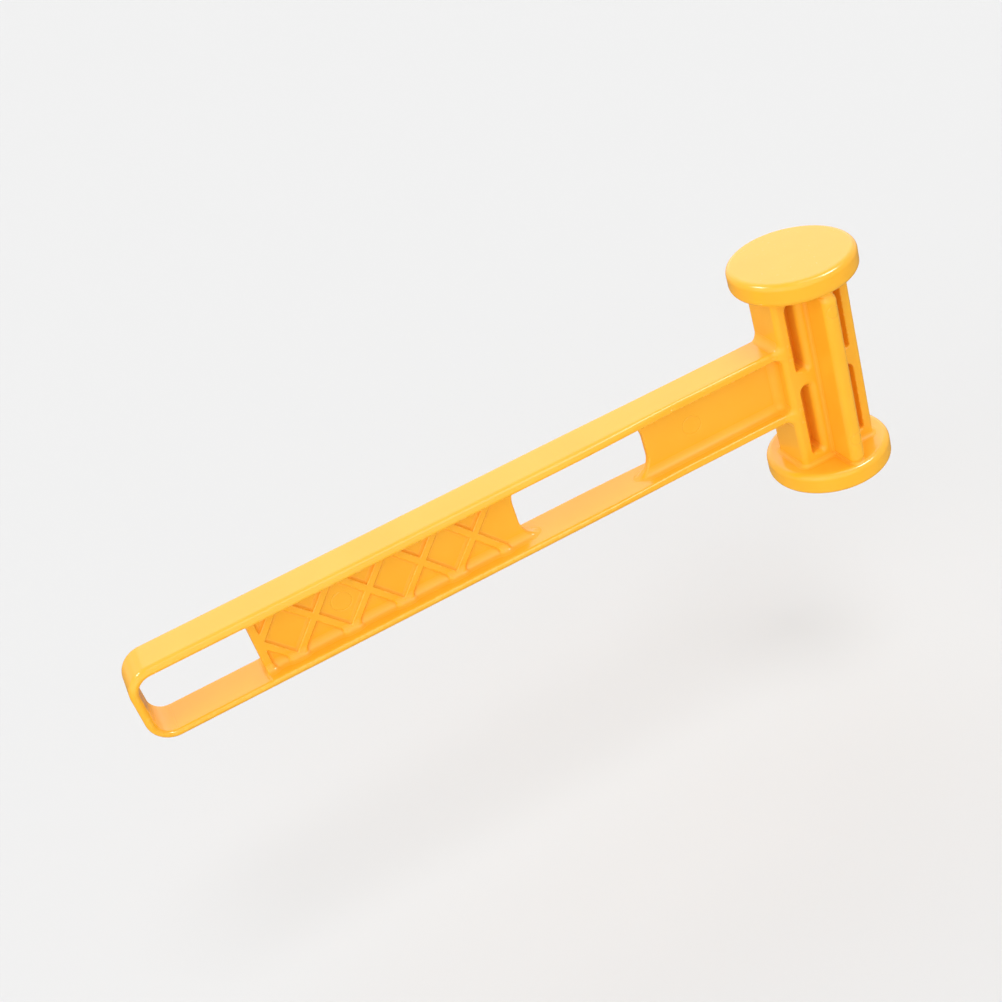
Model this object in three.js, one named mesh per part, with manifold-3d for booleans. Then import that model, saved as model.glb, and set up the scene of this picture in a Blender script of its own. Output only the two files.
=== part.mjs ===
// A light camping mallet moulded in one shot from glossy yellow plastic.
//
// Two round striking discs sit on the ends of an upright plate that is stiffened by a
// fin on each side and lightened by four pairs of pockets.  An I-beam handle runs
// back from the plate: two flanges joined by a thin web, with a through slot in front
// of the grip, a raised lattice on the grip and an open loop at the butt.
//
// Millimetres.  The origin is the middle of the lower striking face.  +Z runs up the
// head, the handle points to -X, and "right" is -Y, seen from the butt.
//
// The mallet is divided where its shape changes, and every stretch between two such
// planes is a closed solid of its own that meets its neighbours face to face.

import * as THREE from "three";
import { mergeVertices } from "three/addons/utils/BufferGeometryUtils.js";
import Module from "manifold-3d";

const wasm = await Module();
wasm.setup();

// Striking discs
const HEAD_LENGTH = 96;
const DISC_RADIUS = 25;
const DISC_THICKNESS = 9.4;
const DISC_EDGE_RADIUS = 2;
const DISC_SIDES = 48;

// Head plate between the discs
const PLATE_HALF_LENGTH = 17;
const PLATE_HALF_WIDTH = 10;
const PLATE_CORNER_RADIUS = 1.5;
const POST_HALF_LENGTH = 7.4;
const POCKET_OUTER_X = 12.4;
const POCKET_END_RADIUS = 2.4;
const POCKET_WEB_HALF_THICKNESS = 1.5;
const LOWER_POCKET_BOTTOM = 14.2;
const UPPER_POCKET_TOP = 81.8;
const MID_RIB_BOTTOM = 45.2;
const MID_RIB_TOP = 52.8;

// Fins on both flat sides of the plate
const FIN_HALF_THICKNESS = 3.2;
const FIN_REACH = 24.3;
const FIN_CORNER_RADIUS = 4;
const FIN_ROOT_RADIUS = 1;

// Handle, measured from its own axis halfway up the head
const HANDLE_AXIS_Z = HEAD_LENGTH / 2;
const FLANGE_HALF_HEIGHT = 16.2;
const FLANGE_THICKNESS = 3.4;
const WEB_HALF_HEIGHT = FLANGE_HALF_HEIGHT - FLANGE_THICKNESS;
const WEB_HALF_THICKNESS = 1.5;
const ROOT_FILLET_RADIUS = 4;
const NECK_HALF_WIDTH = 8;
const NECK_EDGE_RADIUS = 0.8;
const GRIP_HALF_WIDTH = 9.6;
const GRIP_EDGE_RADIUS = 3.2;

// Places along the handle, from the head to the butt
const HANDLE_START_X = -PLATE_HALF_LENGTH;
const WIDENING_START_X = -60;
const WIDENING_END_X = -110;
const SLOT_START_X = -77.3;
const SLOT_END_X = -134.6;
const WEB_END_X = -243.5;
const BUTT_END_X = -290;
const SLOT_CORNER_RADIUS = 6;
const BUTT_CORNER_RADIUS = 10;
const BUTT_BEND_X = BUTT_END_X + BUTT_CORNER_RADIUS;

// Raised lattice on both faces of the grip web
const LATTICE_START_X = -141.9;
const LATTICE_PITCH = 22.1;
const LATTICE_FULL_CELLS = 4;
const LATTICE_RIB_WIDTH = 3.1;
const LATTICE_RIB_HEIGHT = 1.2;
const BORDER_STRIP_WIDTH = 3.4;

// Straight pieces that stand for a rounded corner, a butt bend and the widening
const ARC_STEPS = 4;
const BEND_STEPS = 8;
const WIDENING_STEPS = 5;

const yellowPlastic = new THREE.MeshStandardMaterial({
  color: 0xf8bd3a,
  roughness: 0.28,
  metalness: 0,
});

function namedMesh(name, geometry) {
  const mesh = new THREE.Mesh(geometry, yellowPlastic);
  mesh.name = name;
  return mesh;
}

// ---------------------------------------------------------------- solids

function toSolid(geometry) {
  const bare = geometry.clone();
  bare.deleteAttribute("normal");
  bare.deleteAttribute("uv");
  const merged = mergeVertices(bare);
  const mesh = new wasm.Mesh({
    numProp: 3,
    vertProperties: merged.attributes.position.array,
    triVerts: new Uint32Array(merged.index.array),
  });
  return new wasm.Manifold(mesh);
}

function toGeometry(solid) {
  const mesh = solid.getMesh();
  const geometry = new THREE.BufferGeometry();
  geometry.setAttribute("position", new THREE.BufferAttribute(mesh.vertProperties, 3));
  geometry.setIndex(new THREE.BufferAttribute(mesh.triVerts, 1));
  geometry.computeVertexNormals();
  return geometry;
}

function polygon(points) {
  return new THREE.Shape(points.map(([x, y]) => new THREE.Vector2(x, y)));
}

// An outline drawn in X and Y, raised from z = 0.
function upright(shape, height) {
  return new THREE.ExtrudeGeometry(shape, {
    depth: height,
    bevelEnabled: false,
    curveSegments: ARC_STEPS,
  });
}

// An outline drawn in X and Z, filled from fromY to toY.
function across(shape, fromY, toY) {
  return upright(shape, toY - fromY).rotateX(Math.PI / 2).translate(0, toY, 0);
}

// A block between two values of X and two of Z.
function block([fromX, toX], [fromZ, toZ], halfWidth) {
  const outline = polygon([[fromX, fromZ], [toX, fromZ], [toX, toZ], [fromX, toZ]]);
  return across(outline, -halfWidth, halfWidth);
}

function roundedRectangle([fromX, toX], [fromY, toY], radius) {
  const quarter = Math.PI / 2;
  const shape = new THREE.Shape();
  shape.absarc(toX - radius, toY - radius, radius, 0, quarter);
  shape.absarc(fromX + radius, toY - radius, radius, quarter, 2 * quarter);
  shape.absarc(fromX + radius, fromY + radius, radius, 2 * quarter, 3 * quarter);
  shape.absarc(toX - radius, fromY + radius, radius, 3 * quarter, 4 * quarter);
  return shape;
}

// ---------------------------------------------------------------- head

function strikingDisc() {
  const flat = DISC_RADIUS - DISC_EDGE_RADIUS;
  const outline = new THREE.Path();
  outline.moveTo(0, 0);
  outline.lineTo(flat, 0);
  outline.absarc(flat, DISC_EDGE_RADIUS, DISC_EDGE_RADIUS, -Math.PI / 2, 0);
  outline.absarc(flat, DISC_THICKNESS - DISC_EDGE_RADIUS, DISC_EDGE_RADIUS, 0, Math.PI / 2);
  outline.lineTo(0, DISC_THICKNESS);
  const points = outline.getPoints(ARC_STEPS);
  return new THREE.LatheGeometry(points, DISC_SIDES).rotateX(Math.PI / 2);
}

// The whole plate with its pockets, which open to both flat sides and leave a thin
// web between them.
function pocketedPlate() {
  const outline = roundedRectangle(
    [-PLATE_HALF_LENGTH, PLATE_HALF_LENGTH],
    [-PLATE_HALF_WIDTH, PLATE_HALF_WIDTH],
    PLATE_CORNER_RADIUS,
  );
  const beyondPlate = PLATE_HALF_WIDTH + 1;
  let plate = toSolid(upright(outline, HEAD_LENGTH));
  for (const xRange of [[-POCKET_OUTER_X, -POST_HALF_LENGTH], [POST_HALF_LENGTH, POCKET_OUTER_X]]) {
    for (const zRange of [[LOWER_POCKET_BOTTOM, MID_RIB_BOTTOM], [MID_RIB_TOP, UPPER_POCKET_TOP]]) {
      const pocket = roundedRectangle(xRange, zRange, POCKET_END_RADIUS);
      plate = plate.subtract(toSolid(across(pocket, -beyondPlate, -POCKET_WEB_HALF_THICKNESS)));
      plate = plate.subtract(toSolid(across(pocket, POCKET_WEB_HALF_THICKNESS, beyondPlate)));
    }
  }
  return plate;
}

// The plate is divided at the pocket walls and where the pocket ends begin to round.
function plateSections() {
  const plate = pocketedPlate();
  const lowerNeckTop = LOWER_POCKET_BOTTOM + POCKET_END_RADIUS;
  const upperNeckBottom = UPPER_POCKET_TOP - POCKET_END_RADIUS;
  const wholeLength = [-PLATE_HALF_LENGTH, PLATE_HALF_LENGTH];
  const rearColumn = [-POCKET_OUTER_X, -POST_HALF_LENGTH];
  const frontColumn = [POST_HALF_LENGTH, POCKET_OUTER_X];
  const betweenNecks = [lowerNeckTop, upperNeckBottom];
  const ribHeights = [MID_RIB_BOTTOM - POCKET_END_RADIUS, MID_RIB_TOP + POCKET_END_RADIUS];
  const lowerWebHeights = [lowerNeckTop, ribHeights[0]];
  const upperWebHeights = [ribHeights[1], upperNeckBottom];
  const sections = {
    lower_neck: [wholeLength, [DISC_THICKNESS, lowerNeckTop]],
    upper_neck: [wholeLength, [upperNeckBottom, HEAD_LENGTH - DISC_THICKNESS]],
    handle_side_wall: [[-PLATE_HALF_LENGTH, -POCKET_OUTER_X], betweenNecks],
    front_side_wall: [[POCKET_OUTER_X, PLATE_HALF_LENGTH], betweenNecks],
    centre_post: [[-POST_HALF_LENGTH, POST_HALF_LENGTH], betweenNecks],
    rear_mid_rib: [rearColumn, ribHeights],
    front_mid_rib: [frontColumn, ribHeights],
    lower_rear_pocket_web: [rearColumn, lowerWebHeights],
    upper_rear_pocket_web: [rearColumn, upperWebHeights],
    lower_front_pocket_web: [frontColumn, lowerWebHeights],
    upper_front_pocket_web: [frontColumn, upperWebHeights],
  };
  return Object.entries(sections).map(([name, [xRange, zRange]]) => {
    const region = toSolid(block(xRange, zRange, PLATE_HALF_WIDTH));
    return namedMesh(name, toGeometry(plate.intersect(region)));
  });
}

// One fin, standing out along +X from the plate's flat side.  It has a small fillet at
// each side of its root, and its outer corners are rounded off below the discs.
function fin() {
  const root = PLATE_HALF_WIDTH;
  const filletX = root + FIN_ROOT_RADIUS;
  const filletY = FIN_HALF_THICKNESS + FIN_ROOT_RADIUS;
  const plan = new THREE.Shape();
  plan.moveTo(root, -filletY);
  plan.absarc(filletX, -filletY, FIN_ROOT_RADIUS, Math.PI, Math.PI / 2, true);
  plan.lineTo(FIN_REACH, -FIN_HALF_THICKNESS);
  plan.lineTo(FIN_REACH, FIN_HALF_THICKNESS);
  plan.absarc(filletX, filletY, FIN_ROOT_RADIUS, -Math.PI / 2, -Math.PI, true);

  const bottom = DISC_THICKNESS;
  const top = HEAD_LENGTH - DISC_THICKNESS;
  const cornerX = FIN_REACH - FIN_CORNER_RADIUS;
  const side = new THREE.Shape();
  side.moveTo(root, bottom);
  side.lineTo(cornerX, bottom);
  side.absarc(cornerX, bottom + FIN_CORNER_RADIUS, FIN_CORNER_RADIUS, -Math.PI / 2, 0);
  side.absarc(cornerX, top - FIN_CORNER_RADIUS, FIN_CORNER_RADIUS, 0, Math.PI / 2);
  side.lineTo(root, top);

  const filletedBar = toSolid(upright(plan, HEAD_LENGTH));
  const sideProfile = toSolid(across(side, -PLATE_HALF_WIDTH, PLATE_HALF_WIDTH));
  return toGeometry(filletedBar.intersect(sideProfile));
}

function makeHead() {
  const head = new THREE.Group();
  const lowerDisc = namedMesh("lower_striking_disc", strikingDisc());
  const upperDisc = namedMesh("upper_striking_disc", strikingDisc());
  upperDisc.position.z = HEAD_LENGTH - DISC_THICKNESS;
  const rightFin = namedMesh("right_fin", fin());
  const leftFin = namedMesh("left_fin", fin());
  rightFin.rotation.z = -Math.PI / 2;
  leftFin.rotation.z = Math.PI / 2;
  head.add(lowerDisc, upperDisc, ...plateSections(), rightFin, leftFin);
  return head;
}

// ---------------------------------------------------------------- flanges

// How far the flange has changed from its neck form to its grip form, from 0 to 1.
function widening(x) {
  return THREE.MathUtils.smoothstep(-x, -WIDENING_START_X, -WIDENING_END_X);
}

function flangeHalfWidth(x) {
  return THREE.MathUtils.lerp(NECK_HALF_WIDTH, GRIP_HALF_WIDTH, widening(x));
}

function flangeEdgeRadius(x) {
  return THREE.MathUtils.lerp(NECK_EDGE_RADIUS, GRIP_EDGE_RADIUS, widening(x));
}

// Height of the flange's outer face, which curves up to meet the head plate.
function flangeOuterHeight(x) {
  const toFilletEnd = x - (HANDLE_START_X - ROOT_FILLET_RADIUS);
  if (toFilletEnd <= 0) {
    return FLANGE_HALF_HEIGHT;
  }
  const drop = Math.sqrt(Math.max(0, ROOT_FILLET_RADIUS ** 2 - toFilletEnd ** 2));
  return FLANGE_HALF_HEIGHT + ROOT_FILLET_RADIUS - drop;
}

// The flange's cross-section at a station, as points around it.  Both edges of the
// outer face are rounded, and the inner face stays flat.
function flangeRing({ x, z, outward, innerDepth, halfWidth, edgeRadius }) {
  const ring = [];
  const addPoint = (y, depth) => {
    ring.push([x - depth * outward.x, y, z - depth * outward.y]);
  };
  const addEdgePoint = (side, step) => {
    const angle = (step / ARC_STEPS) * (Math.PI / 2);
    const y = halfWidth - edgeRadius * (1 - Math.sin(angle));
    addPoint(side * y, edgeRadius * (1 - Math.cos(angle)));
  };
  for (let step = 0; step <= ARC_STEPS; step += 1) {
    addEdgePoint(1, step);
  }
  addPoint(halfWidth, innerDepth);
  addPoint(-halfWidth, innerDepth);
  for (let step = ARC_STEPS; step >= 0; step -= 1) {
    addEdgePoint(-1, step);
  }
  return ring;
}

// A closed solid through the stations' cross-sections.
function loft(stations) {
  const rings = stations.map(flangeRing);
  const count = rings[0].length;
  const index = [];
  for (let ring = 0; ring + 1 < rings.length; ring += 1) {
    for (let point = 0; point < count; point += 1) {
      const next = (point + 1) % count;
      const here = ring * count;
      const ahead = here + count;
      index.push(here + point, here + next, ahead + next);
      index.push(here + point, ahead + next, ahead + point);
    }
  }
  const last = (rings.length - 1) * count;
  for (let point = 1; point + 1 < count; point += 1) {
    index.push(0, point + 1, point);
    index.push(last, last + point, last + point + 1);
  }
  const geometry = new THREE.BufferGeometry();
  geometry.setAttribute("position", new THREE.Float32BufferAttribute(rings.flat(2), 3));
  geometry.setIndex(index);
  geometry.computeVertexNormals();
  return geometry;
}

// A cross-section of a straight flange: side is 1 for the upper one, -1 for the lower.
function straightStation(side, x) {
  const outer = flangeOuterHeight(x);
  return {
    x,
    z: side * outer,
    outward: new THREE.Vector2(0, side),
    innerDepth: outer - WEB_HALF_HEIGHT,
    halfWidth: flangeHalfWidth(x),
    edgeRadius: flangeEdgeRadius(x),
  };
}

// Every x at which the flanges' cross-section has to be drawn.
function flangeStops() {
  const stops = [SLOT_START_X, SLOT_END_X, WEB_END_X, BUTT_BEND_X];
  for (let step = 0; step <= ARC_STEPS; step += 1) {
    const angle = (step / ARC_STEPS) * (Math.PI / 2);
    stops.push(HANDLE_START_X - ROOT_FILLET_RADIUS * (1 - Math.cos(angle)));
  }
  for (let step = 0; step <= WIDENING_STEPS; step += 1) {
    stops.push(THREE.MathUtils.lerp(WIDENING_START_X, WIDENING_END_X, step / WIDENING_STEPS));
  }
  return stops.sort((a, b) => b - a);
}

function flangeStretch(side, startX, endX) {
  const stops = flangeStops().filter((x) => x <= startX && x >= endX);
  const stations = stops.map((x) => straightStation(side, x));
  // The loft runs round the handle one way: back along the top, forward underneath.
  return loft(side > 0 ? stations : stations.reverse());
}

// The flanges join round the butt in two quarter bends and a short straight.
function buttBend() {
  const stations = [];
  const cornerZ = FLANGE_HALF_HEIGHT - BUTT_CORNER_RADIUS;
  for (const side of [1, -1]) {
    for (let step = 0; step <= BEND_STEPS; step += 1) {
      const turned = (step / BEND_STEPS) * (Math.PI / 2);
      const angle = side > 0 ? Math.PI / 2 + turned : Math.PI + turned;
      const outward = new THREE.Vector2(Math.cos(angle), Math.sin(angle));
      stations.push({
        x: BUTT_BEND_X + BUTT_CORNER_RADIUS * outward.x,
        z: side * cornerZ + BUTT_CORNER_RADIUS * outward.y,
        outward,
        innerDepth: FLANGE_THICKNESS,
        halfWidth: GRIP_HALF_WIDTH,
        edgeRadius: GRIP_EDGE_RADIUS,
      });
    }
  }
  return loft(stations);
}

function makeFlanges() {
  const flanges = new THREE.Group();
  for (const [level, side] of [["upper", 1], ["lower", -1]]) {
    flanges.add(
      namedMesh(`${level}_flange_neck`, flangeStretch(side, HANDLE_START_X, SLOT_START_X)),
      namedMesh(`${level}_flange_slot`, flangeStretch(side, SLOT_START_X, SLOT_END_X)),
      namedMesh(`${level}_flange_grip`, flangeStretch(side, SLOT_END_X, WEB_END_X)),
      namedMesh(`${level}_loop_arm`, flangeStretch(side, WEB_END_X, BUTT_BEND_X)),
    );
  }
  flanges.add(namedMesh("butt_bend", buttBend()));
  return flanges;
}

// ---------------------------------------------------------------- webs and lattice

// A web from its plain end to the slot.  Its two corners at the slot flare out along
// the flanges, so the slot's own corners are round.
function web(plainEndX, slotEndX) {
  const height = WEB_HALF_HEIGHT;
  const radius = SLOT_CORNER_RADIUS;
  const towardSlot = Math.sign(slotEndX - plainEndX);
  const cornerX = slotEndX + towardSlot * radius;
  const towardWeb = towardSlot > 0 ? Math.PI : 0;
  const clockwise = towardSlot > 0;
  const outline = new THREE.Shape();
  outline.moveTo(plainEndX, -height);
  outline.lineTo(cornerX, -height);
  outline.absarc(cornerX, -height + radius, radius, -Math.PI / 2, towardWeb, clockwise);
  outline.absarc(cornerX, height - radius, radius, towardWeb, Math.PI / 2, clockwise);
  outline.lineTo(plainEndX, height);
  return across(outline, -WEB_HALF_THICKNESS, WEB_HALF_THICKNESS);
}

function latticeEdge(cell) {
  return LATTICE_START_X - cell * LATTICE_PITCH;
}

function latticeRaise(shape) {
  return toSolid(across(shape, -WEB_HALF_THICKNESS - LATTICE_RIB_HEIGHT, -WEB_HALF_THICKNESS));
}

// Two raised ribs that cross in the middle of a cell, clipped between fromX and toX.
function latticeCross(cell, toX) {
  const fromX = latticeEdge(cell);
  const middleX = fromX - LATTICE_PITCH / 2;
  const slope = Math.atan2(2 * WEB_HALF_HEIGHT, LATTICE_PITCH);
  const reach = LATTICE_PITCH;
  const ribs = [slope, -slope].map((angle) => {
    const centre = new THREE.Vector2(middleX, 0);
    const corners = [[-reach, -1], [reach, -1], [reach, 1], [-reach, 1]].map(([along, side]) => {
      const corner = new THREE.Vector2(middleX + along, (side * LATTICE_RIB_WIDTH) / 2);
      return corner.rotateAround(centre, angle);
    });
    return latticeRaise(new THREE.Shape(corners));
  });
  const cellBlock = block([toX, fromX], [-WEB_HALF_HEIGHT, WEB_HALF_HEIGHT], GRIP_HALF_WIDTH);
  return ribs[0].add(ribs[1]).intersect(toSolid(cellBlock));
}

// The lattice ends in half a cross, run into a raised strip along the web's end.
function latticeEnd() {
  const stripX = [WEB_END_X, WEB_END_X + BORDER_STRIP_WIDTH];
  const strip = polygon([
    [stripX[0], -WEB_HALF_HEIGHT],
    [stripX[1], -WEB_HALF_HEIGHT],
    [stripX[1], WEB_HALF_HEIGHT],
    [stripX[0], WEB_HALF_HEIGHT],
  ]);
  return latticeCross(LATTICE_FULL_CELLS, WEB_END_X).add(latticeRaise(strip));
}

function makeWebs() {
  const webs = new THREE.Group();
  webs.add(
    namedMesh("front_web", web(HANDLE_START_X, SLOT_START_X)),
    namedMesh("grip_web", web(WEB_END_X, SLOT_END_X)),
  );
  for (const [side, turn] of [["right", 0], ["left", Math.PI]]) {
    const lattice = new THREE.Group();
    lattice.rotation.x = turn;
    for (let cell = 0; cell < LATTICE_FULL_CELLS; cell += 1) {
      const cross = latticeCross(cell, latticeEdge(cell + 1));
      lattice.add(namedMesh(`${side}_lattice_cross_${cell + 1}`, toGeometry(cross)));
    }
    lattice.add(namedMesh(`${side}_lattice_end`, toGeometry(latticeEnd())));
    webs.add(lattice);
  }
  return webs;
}

const handle = new THREE.Group();
handle.position.z = HANDLE_AXIS_Z;
handle.add(makeFlanges(), makeWebs());

const mallet = new THREE.Group();
mallet.add(makeHead(), handle);

export default mallet;
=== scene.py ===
"""Looks of a one-piece moulded plastic mallet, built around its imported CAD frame.

The moulding is one continuous skin with filleted corners and rounded edges.  It is
described as a distance field in millimetres, sampled on two grids (head and handle),
and divided into the same named pieces as the CAD model.  Within a grid, neighbouring
pieces share their seam points and normals, so the seams don't show.  Where the two
grids meet, both sides follow the same skin with points of their own.
"""

import math

import bpy
import numpy as np
from mathutils import Matrix, Vector


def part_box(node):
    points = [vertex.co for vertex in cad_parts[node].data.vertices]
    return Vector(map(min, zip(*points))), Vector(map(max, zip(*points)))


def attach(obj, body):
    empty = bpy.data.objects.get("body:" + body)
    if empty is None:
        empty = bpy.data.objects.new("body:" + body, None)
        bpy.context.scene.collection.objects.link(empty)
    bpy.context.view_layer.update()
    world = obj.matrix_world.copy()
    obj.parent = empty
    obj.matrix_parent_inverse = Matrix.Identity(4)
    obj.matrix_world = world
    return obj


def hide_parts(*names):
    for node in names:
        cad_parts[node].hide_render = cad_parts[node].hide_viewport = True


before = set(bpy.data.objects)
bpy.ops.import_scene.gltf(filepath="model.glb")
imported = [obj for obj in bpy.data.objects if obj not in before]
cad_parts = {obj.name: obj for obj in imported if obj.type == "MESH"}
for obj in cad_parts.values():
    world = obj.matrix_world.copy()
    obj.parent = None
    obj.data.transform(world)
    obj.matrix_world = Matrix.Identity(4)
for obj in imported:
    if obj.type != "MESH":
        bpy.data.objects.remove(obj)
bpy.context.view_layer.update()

MM = 0.001


# ------------------------------------------------------------------ sizes, millimetres

def cad_span(node):
    """A CAD node's lowest and highest corners in millimetres."""
    low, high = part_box(node)
    return np.array(low) / MM, np.array(high) / MM


DISC_RADIUS = cad_span("upper_striking_disc")[1][0]
DISC_THICKNESS = cad_span("lower_striking_disc")[1][2]
HEAD_LENGTH = cad_span("upper_striking_disc")[1][2]
PLATE_HALF_LENGTH, PLATE_HALF_WIDTH, _ = cad_span("front_side_wall")[1]
POCKET_INNER_X = cad_span("upper_front_pocket_web")[0][0]
POCKET_OUTER_X = cad_span("upper_front_pocket_web")[1][0]
POCKET_WEB_HALF = cad_span("upper_front_pocket_web")[1][1]
NECK_SOLID = 4.8
LOWER_POCKET_BOTTOM = DISC_THICKNESS + NECK_SOLID
UPPER_POCKET_TOP = HEAD_LENGTH - LOWER_POCKET_BOTTOM
MID_RIB_HEIGHT = 7.6
MID_RIB_Z = (cad_span("front_mid_rib")[0][2] + cad_span("front_mid_rib")[1][2]) / 2
FIN_HALF_THICKNESS = 3.2
FIN_REACH = cad_span("left_fin")[1][1]

AXIS_Z = (cad_span("front_web")[0][2] + cad_span("front_web")[1][2]) / 2
FLANGE_HALF_HEIGHT = cad_span("upper_flange_grip")[1][2] - AXIS_Z
WEB_HALF_HEIGHT = cad_span("front_web")[1][2] - AXIS_Z
WEB_HALF_THICKNESS = cad_span("front_web")[1][1]
NECK_HALF_WIDTH = 8.0
GRIP_HALF_WIDTH = cad_span("upper_flange_grip")[1][1]
SLOT_START_X = cad_span("upper_flange_neck")[0][0]
SLOT_END_X = cad_span("upper_flange_slot")[0][0]
WEB_END_X = cad_span("grip_web")[0][0]
BUTT_END_X = cad_span("butt_bend")[0][0]
BUTT_BEND_X = cad_span("butt_bend")[1][0]
LATTICE_START_X = cad_span("right_lattice_cross_1")[1][0]
LATTICE_PITCH = LATTICE_START_X - cad_span("right_lattice_cross_1")[0][0]
LATTICE_TOP = cad_span("left_lattice_end")[1][1]
LATTICE_HALF_WIDTH = 1.55
BORDER_STRIP_WIDTH = 3.4

# Where the flanges change from their narrow form at the head to their wide one
WIDENING_X = (-60.0, -110.0)

# Rounded edges and fillets that the CAD model leaves out or keeps coarse
DISC_EDGE = 2.6
DISC_FILLET = 1.5
PLATE_EDGE = 2.4
FIN_EDGE = 2.8
FIN_CORNER = 4.0
FIN_ROOT_FILLET = 1.0
POCKET_TOP_CORNER = 2.4
POCKET_FOOT_CORNER = 1.2
POCKET_WALL_LIP = 0.4
POCKET_POST_LIP = 2.7
POCKET_FLOOR_FILLET = 0.8
POCKET_DRAFT = 0.02
ROOT_FILLET = 3.3
NECK_EDGE = 1.3
GRIP_EDGE = 3.1
NECK_INNER_EDGE = 0.9
GRIP_INNER_EDGE = 1.8
WEB_FILLET = 3.5
WEB_FILLET_FADE = 1.0
WEB_END_EDGE = 0.7
SLOT_HALF_HEIGHT = WEB_HALF_HEIGHT + 1.0
SLOT_CORNER = 10.0
WEB_END_FILLET = 0.8
BUTT_CORNER = 10.0
RIB_EDGE = 0.4
RIB_FILLET = 0.7
RIB_DRAFT = 0.15


# ------------------------------------------------------------------ the moulding's shape

def round_union(a, b, radius):
    """Joins two solids with a concave fillet between them."""
    u = np.maximum(radius - a, 0)
    v = np.maximum(radius - b, 0)
    return np.maximum(radius, np.minimum(a, b)) - np.hypot(u, v)


def round_common(a, b, radius):
    """What two solids share, with a rounded edge where their surfaces cross."""
    u = np.maximum(radius + a, 0)
    v = np.maximum(radius + b, 0)
    return np.minimum(-radius, np.maximum(a, b)) + np.hypot(u, v)


def fade(value, start, end):
    """Falls smoothly from 1 to 0 while the value goes from start to end."""
    share = np.clip((value - start) / (end - start), 0, 1)
    return 1 - share * share * (3 - 2 * share)


def rectangle(u, v, half_u, half_v, corner):
    """Distance to a rectangle with round corners, centred on u = v = 0."""
    du = np.abs(u) - half_u + corner
    dv = np.abs(v) - half_v + corner
    outside = np.hypot(np.maximum(du, 0), np.maximum(dv, 0))
    return outside + np.minimum(np.maximum(du, dv), 0) - corner


def span_rectangle(u, v, span_u, half_v, corner):
    """The same between two values of u."""
    middle = (span_u[0] + span_u[1]) / 2
    return rectangle(u - middle, v, (span_u[1] - span_u[0]) / 2, half_v, corner)


def head_distance(x, y, z):
    """The plate, its fins and pockets and the two discs."""
    up = z - HEAD_LENGTH / 2
    inner_face = HEAD_LENGTH / 2 - DISC_THICKNESS
    plate = rectangle(x, y, PLATE_HALF_LENGTH, PLATE_HALF_WIDTH, PLATE_EDGE)
    fin_side = rectangle(y, up, FIN_REACH, inner_face, FIN_CORNER)
    fin = round_common(np.abs(x) - FIN_HALF_THICKNESS, fin_side, FIN_EDGE)
    column = round_union(plate, fin, FIN_ROOT_FILLET)
    column = np.maximum(column, np.abs(up) - inner_face - DISC_THICKNESS / 2)

    pocket_x = np.abs(x) - (POCKET_INNER_X + POCKET_OUTER_X) / 2
    pocket_half = (POCKET_OUTER_X - POCKET_INNER_X) / 2
    toward_post = np.clip(0.5 - pocket_x / (2 * pocket_half), 0, 1)
    lip = POCKET_WALL_LIP + (POCKET_POST_LIP - POCKET_WALL_LIP) * toward_post
    depth = PLATE_HALF_WIDTH - np.abs(y)
    half_width = pocket_half - POCKET_DRAFT * depth
    rib_bottom = MID_RIB_Z - MID_RIB_HEIGHT / 2
    rib_top = MID_RIB_Z + MID_RIB_HEIGHT / 2
    for bottom, top in ((LOWER_POCKET_BOTTOM, rib_bottom), (rib_top, UPPER_POCKET_TOP)):
        middle = (bottom + top) / 2
        half_height = (top - bottom) / 2 - POCKET_DRAFT * depth
        corner = np.where(z > middle, POCKET_TOP_CORNER, POCKET_FOOT_CORNER)
        outline = rectangle(pocket_x, z - middle, half_width, half_height, corner)
        pocket = round_common(outline, POCKET_WEB_HALF - np.abs(y), POCKET_FLOOR_FILLET)
        column = round_common(column, -pocket, lip)

    half_disc = DISC_THICKNESS / 2
    from_disc = np.abs(up) - (HEAD_LENGTH / 2 - half_disc)
    disc = rectangle(np.hypot(x, y), from_disc, DISC_RADIUS, half_disc, DISC_EDGE)
    return round_union(column, disc, DISC_FILLET)


def lattice_distance(x, y, up):
    """Crossed ribs on both faces of the grip web, ending in a straight strip."""
    across = np.mod(LATTICE_START_X - x, LATTICE_PITCH) - LATTICE_PITCH / 2
    slope = 2 * WEB_HALF_HEIGHT / LATTICE_PITCH
    to_line = np.abs(np.abs(up) - np.abs(slope * across)) / math.hypot(1, slope)
    ribs = np.maximum(to_line - LATTICE_HALF_WIDTH, x - LATTICE_START_X)
    strip_middle = WEB_END_X + BORDER_STRIP_WIDTH / 2
    strip = np.abs(x - strip_middle) - BORDER_STRIP_WIDTH / 2
    height = np.abs(y) - WEB_HALF_THICKNESS
    outline = round_union(ribs, strip, RIB_FILLET) + RIB_DRAFT * height
    ribs = round_common(outline, np.abs(y) - LATTICE_TOP, RIB_EDGE)
    return np.maximum(ribs, WEB_END_X - x)


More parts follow.
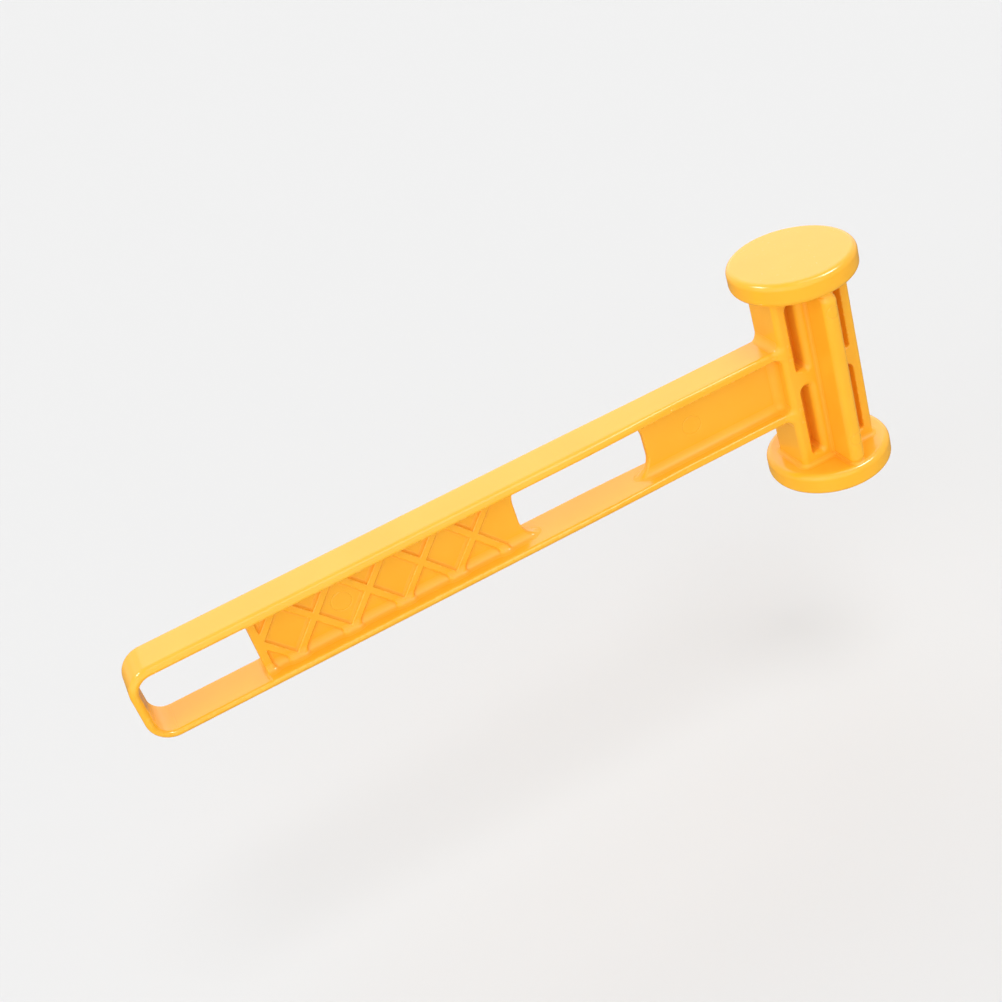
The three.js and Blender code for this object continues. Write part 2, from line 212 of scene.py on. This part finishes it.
def handle_distance(x, y, z):
    """Two flanges that join round the butt, the webs between them and the lattice."""
    up = z - AXIS_Z
    past_head = PLATE_HALF_LENGTH
    thickness = FLANGE_HALF_HEIGHT - WEB_HALF_HEIGHT
    outer = span_rectangle(x, up, (BUTT_END_X, past_head), FLANGE_HALF_HEIGHT, BUTT_CORNER)
    loop_inside = (BUTT_END_X + thickness, past_head)
    inner = span_rectangle(x, up, loop_inside, WEB_HALF_HEIGHT, BUTT_CORNER - thickness)

    wide = 1 - fade(-x, -WIDENING_X[0], -WIDENING_X[1])
    half_width = NECK_HALF_WIDTH + (GRIP_HALF_WIDTH - NECK_HALF_WIDTH) * wide
    edge = NECK_EDGE + (GRIP_EDGE - NECK_EDGE) * wide
    inner_edge = NECK_INNER_EDGE + (GRIP_INNER_EDGE - NECK_INNER_EDGE) * wide
    flat_sides = round_common(np.abs(y) - half_width, outer, edge)

    slot = span_rectangle(x, up, (SLOT_END_X, SLOT_START_X), SLOT_HALF_HEIGHT, SLOT_CORNER)
    web = round_common(np.abs(y) - WEB_HALF_THICKNESS, -slot, WEB_END_EDGE)
    web = round_union(web, lattice_distance(x, y, up), RIB_FILLET)
    into_slot = np.minimum(SLOT_START_X - x, x - SLOT_END_X)
    web_fillet = WEB_FILLET * fade(into_slot, WEB_FILLET_FADE, SLOT_CORNER + WEB_FILLET_FADE)
    web_and_fillets = round_union(-inner, web, web_fillet)
    web_and_fillets = round_common(web_and_fillets, WEB_END_X - x, WEB_END_EDGE)
    flanges_and_web = round_union(-inner, web_and_fillets, WEB_END_FILLET)
    handle = round_common(flat_sides, flanges_and_web, inner_edge)
    return np.maximum(handle, x + POCKET_OUTER_X + ROOT_FILLET)


def mallet_distance(x, y, z):
    """Negative inside the moulding, positive outside."""
    return round_union(head_distance(x, y, z), handle_distance(x, y, z), ROOT_FILLET)


# ------------------------------------------------------------------ from field to meshes

OUTSIDE = 0
NEIGHBOUR = -1      # inside the moulding, but in no piece of this grid
SURFACE_STEP = 0.02     # millimetres, for the slope of the field
CURVE_STEP = 0.5        # millimetres, for its bend
NEWTON_ROUNDS = 4
LONGEST_STEP = 0.5
SMALLEST_SLOPE = 0.1

# How far the skin's normal leans toward an axis (0 to 1) before a point may move along it
PLANE_TILT = 0.08       # below this the point stays on its mesh plane
FREE_TILT = 0.4         # above this it moves freely
CUT_TILT = 0.85         # the same limit for a point on a cut between two pieces

ALL = (-math.inf, math.inf)


def planes(*stretches):
    """Mesh planes through stretches (start, end, step) that follow each other."""
    values = [stretches[0][0]]
    for start, end, step in stretches:
        count = max(1, math.ceil((end - start) / step - 1e-6))
        values.extend(np.linspace(start, end, count + 1)[1:])
    return np.array(values)


def mirrored(*stretches):
    """The same on both sides of zero, from stretches that start at zero."""
    positive = planes(*stretches)
    return np.concatenate([-positive[:0:-1], positive])


def gradient(distance, points):
    """The field's slope at each point, which is the skin's normal there."""
    slopes = []
    for axis in range(3):
        offset = np.zeros(3)
        offset[axis] = SURFACE_STEP
        ahead = distance(*(points + offset).T)
        behind = distance(*(points - offset).T)
        slopes.append((ahead - behind) / (2 * SURFACE_STEP))
    return np.stack(slopes, axis=1)


def crossing_means(nodes, field, cells):
    """The middle of the points where each cell's edges cross the surface."""
    total = np.zeros((len(cells), 3))
    count = np.zeros(len(cells))
    corners = [(a, b, c) for a in (0, 1) for b in (0, 1) for c in (0, 1)]
    for corner in corners:
        for axis in range(3):
            if corner[axis]:
                continue
            start = cells + corner
            end = start.copy()
            end[:, axis] += 1
            value_start = field[tuple(start.T)]
            value_end = field[tuple(end.T)]
            crosses = (value_start < 0) != (value_end < 0)
            share = np.where(crosses, value_start / np.where(crosses, value_start - value_end, 1), 0)
            point = np.stack([nodes[a][start[:, a]] for a in range(3)], axis=1)
            point[:, axis] += share * (nodes[axis][end[:, axis]] - nodes[axis][start[:, axis]])
            total[crosses] += point[crosses]
            count += crosses
    return total / np.maximum(count, 1)[:, None], count > 0


def settle(distance, points, plane_points, on_cut):
    """Moves points onto the surface.  A coordinate that runs along the surface stays on
    its mesh plane, and so does one on a cut between pieces."""
    slope = gradient(distance, points)
    tilt = np.abs(slope) / np.linalg.norm(slope, axis=1, keepdims=True)
    freedom = np.clip((tilt - PLANE_TILT) / (FREE_TILT - PLANE_TILT), 0, 1)
    freedom = np.where(on_cut, tilt >= CUT_TILT, freedom)
    points = plane_points + freedom * (points - plane_points)
    for _ in range(NEWTON_ROUNDS):
        slope = gradient(distance, points)
        size = np.maximum((freedom * slope ** 2).sum(axis=1), SMALLEST_SLOPE)
        step = np.clip(distance(*points.T) / size, -LONGEST_STEP, LONGEST_STEP)
        points = points - step[:, None] * freedom * slope
    slope = gradient(distance, points)
    return points, slope / np.linalg.norm(slope, axis=1, keepdims=True)


def bend(distance, points):
    """How sharply the skin turns, per millimetre: above 0 on edges, below 0 in fillets."""
    total = -6 * distance(*points.T)
    for axis in range(3):
        for step in (-CURVE_STEP, CURVE_STEP):
            offset = np.zeros(3)
            offset[axis] = step
            total += distance(*(points + offset).T)
    return total / CURVE_STEP ** 2


def label_nodes(nodes, field, pieces):
    """The number of the piece that each grid node lies in; the first match counts."""
    labels = np.where(field < 0, NEIGHBOUR, OUTSIDE).astype(np.int16)
    for number, region in enumerate(pieces.values(), start=1):
        within = np.ones((1, 1, 1), bool)
        for axis, (low, high) in enumerate(region):
            shape = [1, 1, 1]
            shape[axis] = -1
            fits = (nodes[axis] > low) & (nodes[axis] < high)
            within = within & fits.reshape(shape)
        labels[within & (labels == NEIGHBOUR)] = number
    return labels


def label_walls(labels):
    """Every face between two labels: its four cells, its two labels and its axis."""
    walls = []
    for axis in range(3):
        count = labels.shape[axis]
        low = np.take(labels, range(count - 1), axis)
        high = np.take(labels, range(1, count), axis)
        edges = np.argwhere((low != high) & ((low > 0) | (high > 0)))
        across, along = (axis + 1) % 3, (axis + 2) % 3
        ring = []
        for step_across, step_along in ((-1, -1), (0, -1), (0, 0), (-1, 0)):
            cells = edges.copy()
            cells[:, across] += step_across
            cells[:, along] += step_along
            ring.append(cells)
        index = tuple(edges.T)
        walls.append((np.stack(ring, axis=1), low[index], high[index], axis))
    return walls


def divided_meshes(distance, axes, pieces):
    """{piece: (points, faces, one normal per face corner, bend at each point)}, in mm."""
    nodes = [(a[1:] + a[:-1]) / 2 for a in axes]
    field = distance(nodes[0][:, None, None], nodes[1][None, :, None], nodes[2][None, None, :])
    labels = label_nodes(nodes, field, pieces)
    walls = label_walls(labels)

    shape = [len(n) - 1 for n in nodes]
    flat = [np.ravel_multi_index(np.moveaxis(cells, -1, 0), shape) for cells, *_ in walls]
    used, ids = np.unique(np.concatenate(flat), return_inverse=True)
    ids = ids.reshape(-1, 4)
    cells = np.stack(np.unravel_index(used, shape), axis=1)
    plane_points = np.stack([axes[a][1:-1][cells[:, a]] for a in range(3)], axis=1)

    low = np.concatenate([wall[1] for wall in walls])
    high = np.concatenate([wall[2] for wall in walls])
    axis = np.concatenate([np.full(len(wall[1]), wall[3]) for wall in walls])
    inner = (low != OUTSIDE) & (high != OUTSIDE)
    on_cut = np.zeros(plane_points.shape, bool)
    on_cut[ids[inner], axis[inner][:, None]] = True

    points = plane_points.copy()
    means, on_surface = crossing_means(nodes, field, cells)
    normals = np.zeros_like(points)
    settled = settle(distance, means[on_surface], plane_points[on_surface], on_cut[on_surface])
    points[on_surface], normals[on_surface] = settled
    bends = np.where(on_surface, bend(distance, points), 0)

    meshes = {}
    for number, name in enumerate(pieces, start=1):
        faces, corner_normals = [], []
        for mine, other, turn in ((low, high, 1), (high, low, -1)):
            chosen = mine == number
            quads = ids[chosen][:, ::turn]
            cap = np.eye(3)[axis[chosen]] * turn
            seen = (other[chosen] == OUTSIDE)[:, None, None]
            faces.append(quads)
            corner_normals.append(np.where(seen, normals[quads], cap[:, None, :]))
        faces = np.concatenate(faces)
        kept, faces = np.unique(faces, return_inverse=True)
        quads = faces.reshape(-1, 4)
        meshes[name] = (points[kept], quads, np.concatenate(corner_normals), bends[kept])
    return meshes


def make_piece(name, points, faces, corner_normals, bends, material):
    """A Blender object from millimetre points, with smooth shading and its bend stored."""
    mesh = bpy.data.meshes.new(name)
    mesh.from_pydata((points * MM).tolist(), [], faces.tolist())
    mesh.polygons.foreach_set("use_smooth", np.ones(len(faces), bool))
    mesh.normals_split_custom_set(corner_normals.reshape(-1, 3).tolist())
    mesh.attributes.new("bend", "FLOAT", "POINT").data.foreach_set("value", bends)
    mesh.materials.append(material)
    piece = bpy.data.objects.new(name, mesh)
    bpy.context.scene.collection.objects.link(piece)
    return piece


# ------------------------------------------------------------------ pieces and grids

# Cuts lie a little off the CAD planes, where the skin runs straight through them
PAST_CORNER = 0.6
INTO_POCKET = 1.0
PAST_SLOT_END = 15.0
DISC_CUT = DISC_THICKNESS + 1.9
NECK_CUT = LOWER_POCKET_BOTTOM + POCKET_TOP_CORNER + PAST_CORNER
RIB_CUT = MID_RIB_HEIGHT / 2 + POCKET_TOP_CORNER + PAST_CORNER
FIN_CUT = PLATE_HALF_WIDTH + 1.5
POST_CUT = POCKET_INNER_X + INTO_POCKET
WALL_CUT = POCKET_OUTER_X - INTO_POCKET
HEAD_CUT = -PLATE_HALF_LENGTH - 4.0
FLANGE_CUT = WEB_HALF_HEIGHT - 2.0
SLOT_CUTS = (SLOT_START_X - PAST_SLOT_END, SLOT_END_X + PAST_SLOT_END)
SLOT_MIDDLE = (SLOT_START_X + SLOT_END_X) / 2
ARM_CUT = WEB_END_X - 3.0
BEND_CUT = BUTT_BEND_X + 1.0
LATTICE_CUT = WEB_HALF_THICKNESS + 0.55
LATTICE_CELLS = 4


def head_pieces():
    """Regions in x, y and z of the head's pieces; the first that fits a point is its own."""
    top = HEAD_LENGTH
    regions = {
        "lower_striking_disc": (ALL, ALL, (-math.inf, DISC_CUT)),
        "upper_striking_disc": (ALL, ALL, (top - DISC_CUT, math.inf)),
        "right_fin": ((HEAD_CUT, math.inf), (-math.inf, -FIN_CUT), ALL),
        "left_fin": ((HEAD_CUT, math.inf), (FIN_CUT, math.inf), ALL),
        "lower_neck": ((HEAD_CUT, math.inf), ALL, (DISC_CUT, NECK_CUT)),
        "upper_neck": ((HEAD_CUT, math.inf), ALL, (top - NECK_CUT, top - DISC_CUT)),
        "handle_side_wall": ((HEAD_CUT, -WALL_CUT), ALL, ALL),
        "front_side_wall": ((WALL_CUT, math.inf), ALL, ALL),
        "centre_post": ((-POST_CUT, POST_CUT), ALL, ALL),
    }
    rib = (MID_RIB_Z - RIB_CUT, MID_RIB_Z + RIB_CUT)
    for place, x_range in (("rear", (-WALL_CUT, -POST_CUT)), ("front", (POST_CUT, WALL_CUT))):
        regions[f"{place}_mid_rib"] = (x_range, ALL, rib)
        regions[f"lower_{place}_pocket_web"] = (x_range, ALL, (NECK_CUT, rib[0]))
        regions[f"upper_{place}_pocket_web"] = (x_range, ALL, (rib[1], top - NECK_CUT))
    return regions


def handle_pieces():
    """The same for the handle."""
    between_flanges = (AXIS_Z - FLANGE_CUT, AXIS_Z + FLANGE_CUT)
    regions = {"butt_bend": ((-math.inf, BEND_CUT), ALL, ALL)}
    for side, y_range in (("right", (-math.inf, -LATTICE_CUT)), ("left", (LATTICE_CUT, math.inf))):
        for cell in range(LATTICE_CELLS):
            start = LATTICE_START_X - cell * LATTICE_PITCH
            x_range = (start - LATTICE_PITCH, start)
            regions[f"{side}_lattice_cross_{cell + 1}"] = (x_range, y_range, between_flanges)
        x_range = (ARM_CUT, LATTICE_START_X - LATTICE_CELLS * LATTICE_PITCH)
        regions[f"{side}_lattice_end"] = (x_range, y_range, between_flanges)
    regions["front_web"] = ((SLOT_MIDDLE, HEAD_CUT), ALL, between_flanges)
    regions["grip_web"] = ((ARM_CUT, SLOT_MIDDLE), ALL, between_flanges)
    for level, z_range in (("upper", (AXIS_Z, math.inf)), ("lower", (-math.inf, AXIS_Z))):
        regions[f"{level}_flange_neck"] = ((SLOT_CUTS[0], HEAD_CUT), ALL, z_range)
        regions[f"{level}_flange_slot"] = ((SLOT_CUTS[1], SLOT_CUTS[0]), ALL, z_range)
        regions[f"{level}_flange_grip"] = ((ARM_CUT, SLOT_CUTS[1]), ALL, z_range)
        regions[f"{level}_loop_arm"] = ((BEND_CUT, ARM_CUT), ALL, z_range)
    return regions


# Steps between mesh planes: short where the skin curves, long where it runs straight
FINE = 0.42
RIM_STEP = 0.35
LATTICE_STEP = 0.36
WEB_FACE_STEP = 0.21
BUTT_STEP = 0.5
COARSE = 1.6
WEB_STEP = 2.5
ARM_STEP = 3.0
MARGIN = 0.7            # room between the skin and the grid's border


def head_axes():
    """Mesh planes of the head's grid in x, y and z."""
    reach = DISC_RADIUS + MARGIN
    x_axis = planes(
        (-reach, HEAD_CUT, FINE),
        (HEAD_CUT, -WALL_CUT, FINE),
        (-WALL_CUT, -POST_CUT, FINE),
        (-POST_CUT, POST_CUT, FINE),
        (POST_CUT, WALL_CUT, FINE),
        (WALL_CUT, reach, FINE),
    )
    y_axis = mirrored((0, FIN_CUT, FINE), (FIN_CUT, reach, FINE))
    rib = (MID_RIB_Z - RIB_CUT, MID_RIB_Z + RIB_CUT)
    handle = FLANGE_HALF_HEIGHT + ROOT_FILLET + 1.0
    rim = DISC_EDGE + 0.3
    top = HEAD_LENGTH
    z_axis = planes(
        (-MARGIN, rim, RIM_STEP),
        (rim, DISC_THICKNESS - rim, COARSE),
        (DISC_THICKNESS - rim, DISC_CUT, RIM_STEP),
        (DISC_CUT, NECK_CUT, FINE),
        (NECK_CUT, AXIS_Z - handle, COARSE),
        (AXIS_Z - handle, rib[0], FINE),
        (rib[0], rib[1], FINE),
        (rib[1], AXIS_Z + handle, FINE),
        (AXIS_Z + handle, top - NECK_CUT, COARSE),
        (top - NECK_CUT, top - DISC_CUT, FINE),
        (top - DISC_CUT, top - DISC_THICKNESS + rim, RIM_STEP),
        (top - DISC_THICKNESS + rim, top - rim, COARSE),
        (top - rim, top + MARGIN, RIM_STEP),
    )
    return x_axis, y_axis, z_axis


def handle_axes():
    """The same for the handle's grid."""
    past_lattice = LATTICE_START_X + 1.0
    past_slot = SLOT_START_X + 1.5
    past_cut = HEAD_CUT + 2.0
    x_axis = planes(
        (BUTT_END_X - MARGIN, BEND_CUT, BUTT_STEP),
        (BEND_CUT, ARM_CUT, ARM_STEP),
        (ARM_CUT, past_lattice, LATTICE_STEP),
        (past_lattice, SLOT_CUTS[1], FINE),
        (SLOT_CUTS[1], SLOT_CUTS[0], WEB_STEP),
        (SLOT_CUTS[0], past_slot, FINE),
        (past_slot, HEAD_CUT, WEB_STEP),
        (HEAD_CUT, past_cut, FINE),
    )
    web_core, fillet_middle, flange_edge = 1.0, 4.0, 5.8
    y_axis = mirrored(
        (0, web_core, 0.5),
        (web_core, LATTICE_CUT, WEB_FACE_STEP),
        (LATTICE_CUT, fillet_middle, 0.3),
        (fillet_middle, flange_edge, 0.45),
        (flange_edge, GRIP_HALF_WIDTH + MARGIN, LATTICE_STEP),
    )
    z_axis = AXIS_Z + mirrored(
        (0, FLANGE_CUT, LATTICE_STEP),
        (FLANGE_CUT, FLANGE_HALF_HEIGHT + MARGIN, LATTICE_STEP),
    )
    return x_axis, y_axis, z_axis


# ------------------------------------------------------------------ material

YELLOW = (0.99, 0.465, 0.024, 1)
PALE_YELLOW = (0.99, 0.485, 0.03, 1)
RUBBED_YELLOW = (0.99, 0.55, 0.06, 1)
# Painted shade: the colour that fillets and creases are tinted toward, standing in for the shade and
# orange bounced light of hollows
PAINTED_SHADE_ORANGE = (0.99, 0.38, 0.012, 1)

# Round marks that the mould's ejector pins leave: middle and radius
PIN_MARKS = (
    ((-56.5, -WEB_HALF_THICKNESS, 47.6), 4.0),
    ((-208.0, -WEB_HALF_THICKNESS, 48.1), 4.0),
    ((0.0, -FIN_REACH, 21.4), 2.6),
    ((0.0, -FIN_REACH, 79.0), 2.6),
)
PIN_MARK_LINE = 0.45

# Sizes of the pattern's blotches in millimetres
CLOUD_SIZE = 24.0
WAVE_SIZE = 16.0
RUB_SIZE = 2.5
SCUFF_SIZE = 1.6
GRAIN_SIZE = 0.8


def add_node(tree, kind, inputs, **settings):
    """Adds a shader node.  Each input is a number, a colour or another node's output."""
    node = tree.nodes.new(kind)
    for name, value in settings.items():
        setattr(node, name, value)
    for key, value in inputs.items():
        if isinstance(value, bpy.types.NodeSocket):
            tree.links.new(value, node.inputs[key])
        else:
            node.inputs[key].default_value = value
    return node


def calculate(tree, operation, *values):
    """The output of a math node."""
    inputs = dict(enumerate(values))
    return add_node(tree, "ShaderNodeMath", inputs, operation=operation).outputs[0]


def step_between(tree, value, low, high, top=1.0):
    """Rises smoothly from 0 to top while the value goes from low to high."""
    inputs = {"Value": value, "From Min": low, "From Max": high, "To Max": top}
    return add_node(tree, "ShaderNodeMapRange", inputs, interpolation_type="SMOOTHSTEP").outputs[0]


def noise(tree, place, size, detail=2.0):
    """Noise around 0.5 with blotches about size millimetres wide."""
    inputs = {"Vector": place, "Scale": 1 / (size * MM), "Detail": detail}
    return add_node(tree, "ShaderNodeTexNoise", inputs).outputs["Fac"]


def blend(tree, share, first, second):
    """The first colour where the share is 0, the second where it is 1."""
    inputs = {0: share, 6: first, 7: second}
    return add_node(tree, "ShaderNodeMix", inputs, data_type="RGBA").outputs[2]


def pin_marks(tree, place):
    """1 on the thin circles that the ejector pins leave, 0 elsewhere."""
    total = 0.0
    for middle, radius in PIN_MARKS:
        ends = {0: place, 1: Vector(middle) * MM}
        away = add_node(tree, "ShaderNodeVectorMath", ends, operation="DISTANCE").outputs["Value"]
        off_circle = calculate(tree, "ABSOLUTE", calculate(tree, "SUBTRACT", away, radius * MM))
        off_line = step_between(tree, off_circle, 0.0, PIN_MARK_LINE * MM)
        total = calculate(tree, "ADD", total, calculate(tree, "SUBTRACT", 1.0, off_line))
    return total


def scuffs(tree, place):
    """1 on the small scuffs of the two striking faces, 0 elsewhere."""
    face = HEAD_LENGTH / 2 * MM
    height = add_node(tree, "ShaderNodeSeparateXYZ", {0: place}).outputs["Z"]
    from_middle = calculate(tree, "ABSOLUTE", calculate(tree, "SUBTRACT", height, face))
    struck = step_between(tree, from_middle, face - 0.4 * MM, face - 0.1 * MM)
    spots = step_between(tree, noise(tree, place, SCUFF_SIZE, detail=6.0), 0.52, 0.72)
    return calculate(tree, "MULTIPLY", struck, spots)


def plastic_colour(tree, clouds, hollow, rubbed):
    """Clouded yellow, tinted deeper orange in the fillets as painted shade, and paler on rubbed
    edges.
    Hollow is how sharply the skin turns inward, per millimetre."""
    colour = blend(tree, step_between(tree, clouds, 0.3, 0.7), YELLOW, PALE_YELLOW)
    # Painted shade: the tighter a fillet turns inward, the more its colour is darkened toward deep
    # orange
    painted_shade = step_between(tree, hollow, 0.15, 1.2, top=0.4)
    colour = blend(tree, painted_shade, colour, PAINTED_SHADE_ORANGE)
    return blend(tree, calculate(tree, "MULTIPLY", rubbed, 0.35), colour, RUBBED_YELLOW)


def plastic_roughness(tree, clouds, hollow, rubbed, scuffed):
    """Glossy faces, a little duller where rubbed or scuffed, dull in the fillets."""
    roughness = calculate(tree, "MULTIPLY_ADD", clouds, 0.08, 0.18)
    roughness = calculate(tree, "MULTIPLY_ADD", rubbed, 0.15, roughness)
    roughness = calculate(tree, "MULTIPLY_ADD", scuffed, 0.06, roughness)
    dull = step_between(tree, hollow, 0.05, 0.35, top=0.35)
    return calculate(tree, "ADD", roughness, dull)


def plastic_relief(tree, place, scuffed):
    """A bump from the moulding's waves, its fine grain, the scuffs and the pin marks."""
    relief = calculate(tree, "MULTIPLY", noise(tree, place, WAVE_SIZE), 0.06)
    relief = calculate(tree, "MULTIPLY_ADD", noise(tree, place, GRAIN_SIZE), 0.0015, relief)
    relief = calculate(tree, "MULTIPLY_ADD", scuffed, -0.002, relief)
    relief = calculate(tree, "MULTIPLY_ADD", pin_marks(tree, place), -0.12, relief)
    bump = add_node(tree, "ShaderNodeBump", {"Distance": MM, "Height": relief})
    return bump.outputs["Normal"]


def moulded_plastic(name):
    """Glossy yellow plastic: clouded colour, painted shade deepening the fillets, edges rubbed paler
    and duller, scuffed faces.
    """
    material = bpy.data.materials.new(name)
    material.use_nodes = True
    tree = material.node_tree
    place = tree.nodes.new("ShaderNodeTexCoord").outputs["Object"]
    turn = add_node(tree, "ShaderNodeAttribute", {}, attribute_name="bend").outputs["Fac"]

    clouds = noise(tree, place, CLOUD_SIZE, detail=3.0)
    hollow = calculate(tree, "MULTIPLY", turn, -1.0)
    patches = step_between(tree, noise(tree, place, RUB_SIZE, detail=4.0), 0.45, 0.65)
    rubbed = calculate(tree, "MULTIPLY", step_between(tree, turn, 0.25, 1.2), patches)
    scuffed = scuffs(tree, place)

    colour = plastic_colour(tree, clouds, hollow, rubbed)
    roughness = plastic_roughness(tree, clouds, hollow, rubbed, scuffed)
    shader = tree.nodes["Principled BSDF"]
    shader.inputs["IOR"].default_value = 1.45
    tree.links.new(colour, shader.inputs["Base Color"])
    tree.links.new(roughness, shader.inputs["Roughness"])
    tree.links.new(plastic_relief(tree, place, scuffed), shader.inputs["Normal"])
    return material


# ------------------------------------------------------------------ build

plastic = moulded_plastic("yellow_plastic")
meshes = divided_meshes(mallet_distance, head_axes(), head_pieces())
meshes.update(divided_meshes(mallet_distance, handle_axes(), handle_pieces()))
for node, (points, faces, corner_normals, bends) in meshes.items():
    piece = make_piece(f"{node}_moulding", points, faces, corner_normals, bends, plastic)
    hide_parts(node)
    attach(piece, "root")


# ------------------------------------------------------------------ floor, light, camera

FLOOR_Z = -105 * MM
FLOOR_REACH = 12.0
FLOOR_GREY = 0.7

# Strength of the even light from above the floor's horizon and from below it
ROOM_GLOW = 0.7
UNDER_GLOW = 0.2

# Each lamp: azimuth from -Y toward +X and elevation, width in degrees, strength.
# The windows are small and bright, and are only seen as highlights on the plastic.
LAMPS = {
    "overhead": (22, 72, 26, 0.45),
    "front": (-25, 20, 80, 1.1),
    "left": (-75, 20, 60, 0.6),
    "right_window": (61, 50, 10, 1.4),
    "middle_window": (46, 54, 10, 1.4),
    "left_window": (-112, 50, 10, 1.4),
    "back_wall": (157, 30, 60, 0.65),
    "back_wall_fringe": (157, 30, 100, 0.75),
}

# The camera stands this way from what it looks at, and is turned about its own axis
CAMERA_PLACE = Vector((-245.57, -449.50, 346.18)) * MM
CAMERA_AZIMUTH = -13.440
CAMERA_ELEVATION = 32.225
CAMERA_ROLL = -19.440
CAMERA_LENS = 52.23
CAMERA_SENSOR = 36.0


def make_floor():
    """A plain pale floor that the glossy plastic doesn't mirror."""
    mesh = bpy.data.meshes.new("floor")
    sides = (-FLOOR_REACH, FLOOR_REACH)
    corners = [(x, y, FLOOR_Z) for x in sides for y in sides]
    mesh.from_pydata(corners, [], [(0, 2, 3, 1)])
    material = bpy.data.materials.new("floor_paint")
    material.use_nodes = True
    shader = material.node_tree.nodes["Principled BSDF"]
    shader.inputs["Base Color"].default_value = (FLOOR_GREY, FLOOR_GREY, FLOOR_GREY, 1)
    shader.inputs["Roughness"].default_value = 1.0
    shader.inputs["Specular IOR Level"].default_value = 0.0
    mesh.materials.append(material)
    floor = bpy.data.objects.new("floor", mesh)
    floor.visible_glossy = False
    bpy.context.scene.collection.objects.link(floor)


def make_lamp(name, azimuth, elevation, width, strength):
    """A lamp far away, seen from the mallet as a round source this many degrees wide."""
    lamp = bpy.data.lights.new(name, "SUN")
    lamp.energy = strength
    lamp.angle = math.radians(width)
    turn = math.radians(azimuth)
    rise = math.radians(elevation)
    level = math.cos(rise)
    way = Vector((math.sin(turn) * level, -math.cos(turn) * level, math.sin(rise)))
    light = bpy.data.objects.new(name, lamp)
    light.rotation_euler = way.to_track_quat("Z", "Y").to_euler()
    bpy.context.scene.collection.objects.link(light)
    return light


def make_glow():
    """Even light from all around, dim under the floor."""
    world = bpy.data.worlds.new("studio")
    bpy.context.scene.world = world
    world.use_nodes = True
    tree = world.node_tree
    way = tree.nodes.new("ShaderNodeTexCoord").outputs["Generated"]
    rise = add_node(tree, "ShaderNodeSeparateXYZ", {0: way}).outputs["Z"]
    room = step_between(tree, rise, -0.25, -0.03, top=ROOM_GLOW - UNDER_GLOW)
    strength = calculate(tree, "ADD", room, UNDER_GLOW)
    background = tree.nodes["Background"]
    background.inputs["Color"].default_value = (1, 1, 1, 1)
    tree.links.new(strength, background.inputs["Strength"])


def make_camera():
    """Looks down on the mallet's right side, with the striking face in view."""
    camera = bpy.data.objects.new("camera", bpy.data.cameras.new("camera"))
    camera.data.lens = CAMERA_LENS
    camera.data.sensor_width = CAMERA_SENSOR
    camera.data.clip_start = 0.01
    swing = Matrix.Rotation(math.radians(CAMERA_AZIMUTH), 4, "Z")
    tip = Matrix.Rotation(math.radians(90 - CAMERA_ELEVATION), 4, "X")
    roll = Matrix.Rotation(math.radians(CAMERA_ROLL), 4, "Z")
    camera.matrix_world = Matrix.Translation(CAMERA_PLACE) @ swing @ tip @ roll
    bpy.context.scene.collection.objects.link(camera)
    bpy.context.scene.camera = camera


make_floor()
for name, settings in LAMPS.items():
    light = make_lamp(name, *settings)
    light.visible_diffuse = "window" not in name
make_glow()
make_camera()
bpy.context.scene.view_settings.view_transform = "Standard"
